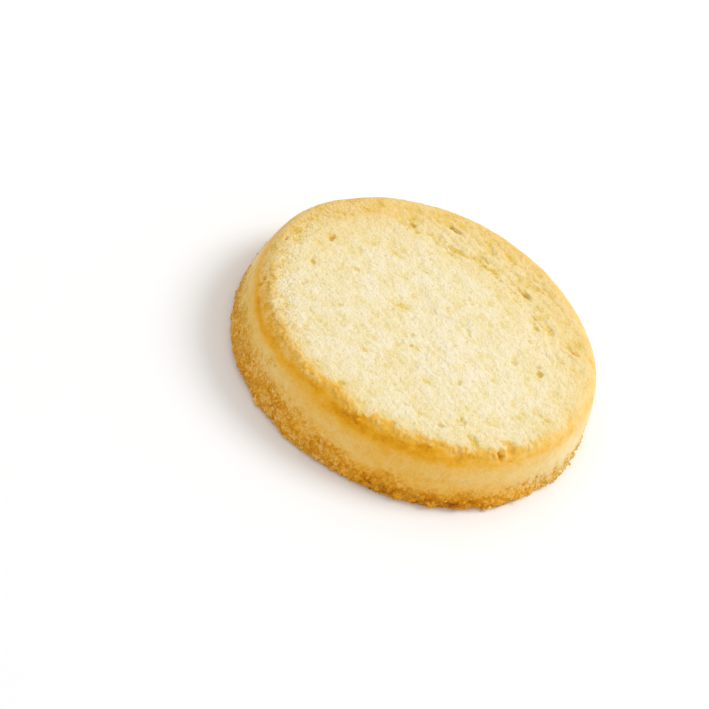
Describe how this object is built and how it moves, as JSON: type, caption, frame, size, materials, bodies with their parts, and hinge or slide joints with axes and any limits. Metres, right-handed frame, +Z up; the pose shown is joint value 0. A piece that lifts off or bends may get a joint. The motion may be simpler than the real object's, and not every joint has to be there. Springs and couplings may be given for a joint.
{
  "type": "shortbread biscuit",
  "caption": "Thick round shortbread biscuit with a slightly domed top, a rounded shoulder, a side that flares towards the base and a flat underside.",
  "frame": {"origin": "middle of the flat underside, on the surface the biscuit lies on", "axes": "+Z points up through the thickness, from the underside to the pale top; X and Y lie in the underside"},
  "size_m": [0.0602, 0.0594, 0.0118],
  "materials": {
    "baked_dough": "dry, crumbly, matte baked dough, cream on top and browned at the shoulder and foot"
  },
  "bodies": {
    "root": {"biscuit": "baked_dough"}
  },
  "joints": []
}
